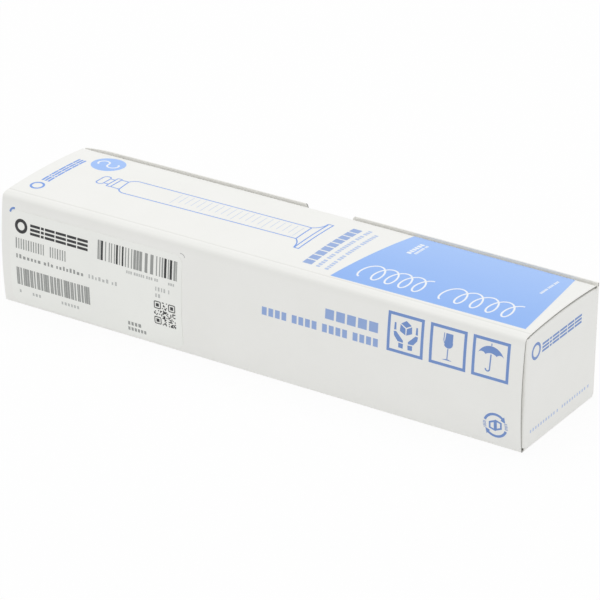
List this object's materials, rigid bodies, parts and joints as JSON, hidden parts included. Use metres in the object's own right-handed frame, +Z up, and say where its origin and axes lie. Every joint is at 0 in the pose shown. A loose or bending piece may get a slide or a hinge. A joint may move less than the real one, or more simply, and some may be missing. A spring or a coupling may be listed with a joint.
{
  "type": "folding carton",
  "caption": "Long closed folding carton of white printed board, with a full-length hinged lid that tucks in behind a thumb-notched back panel, and a paper label.",
  "frame": {"origin": "centre of the base panel's underside", "axes": "+X along the length, to the right as seen from the labelled front; +Y from the hinge side in front to the thumb notch at the back; +Z up"},
  "size_m": [0.2, 0.0484, 0.0403],
  "materials": {
    "board": "white coated board, satin outside and uncoated inside, with blue print",
    "label_paper": "smooth matt label paper with black print"
  },
  "bodies": {
    "carton": {"carton_body": "board", "label": "label_paper"},
    "lid": {"lid": "board"}
  },
  "joints": [
    {"name": "lid_hinge", "type": "hinge", "parent": "carton", "child": "lid", "pos_m": [0, -0.0235, 0.03895], "axis": [1, 0, 0], "range_deg": [0, 180]}
  ]
}
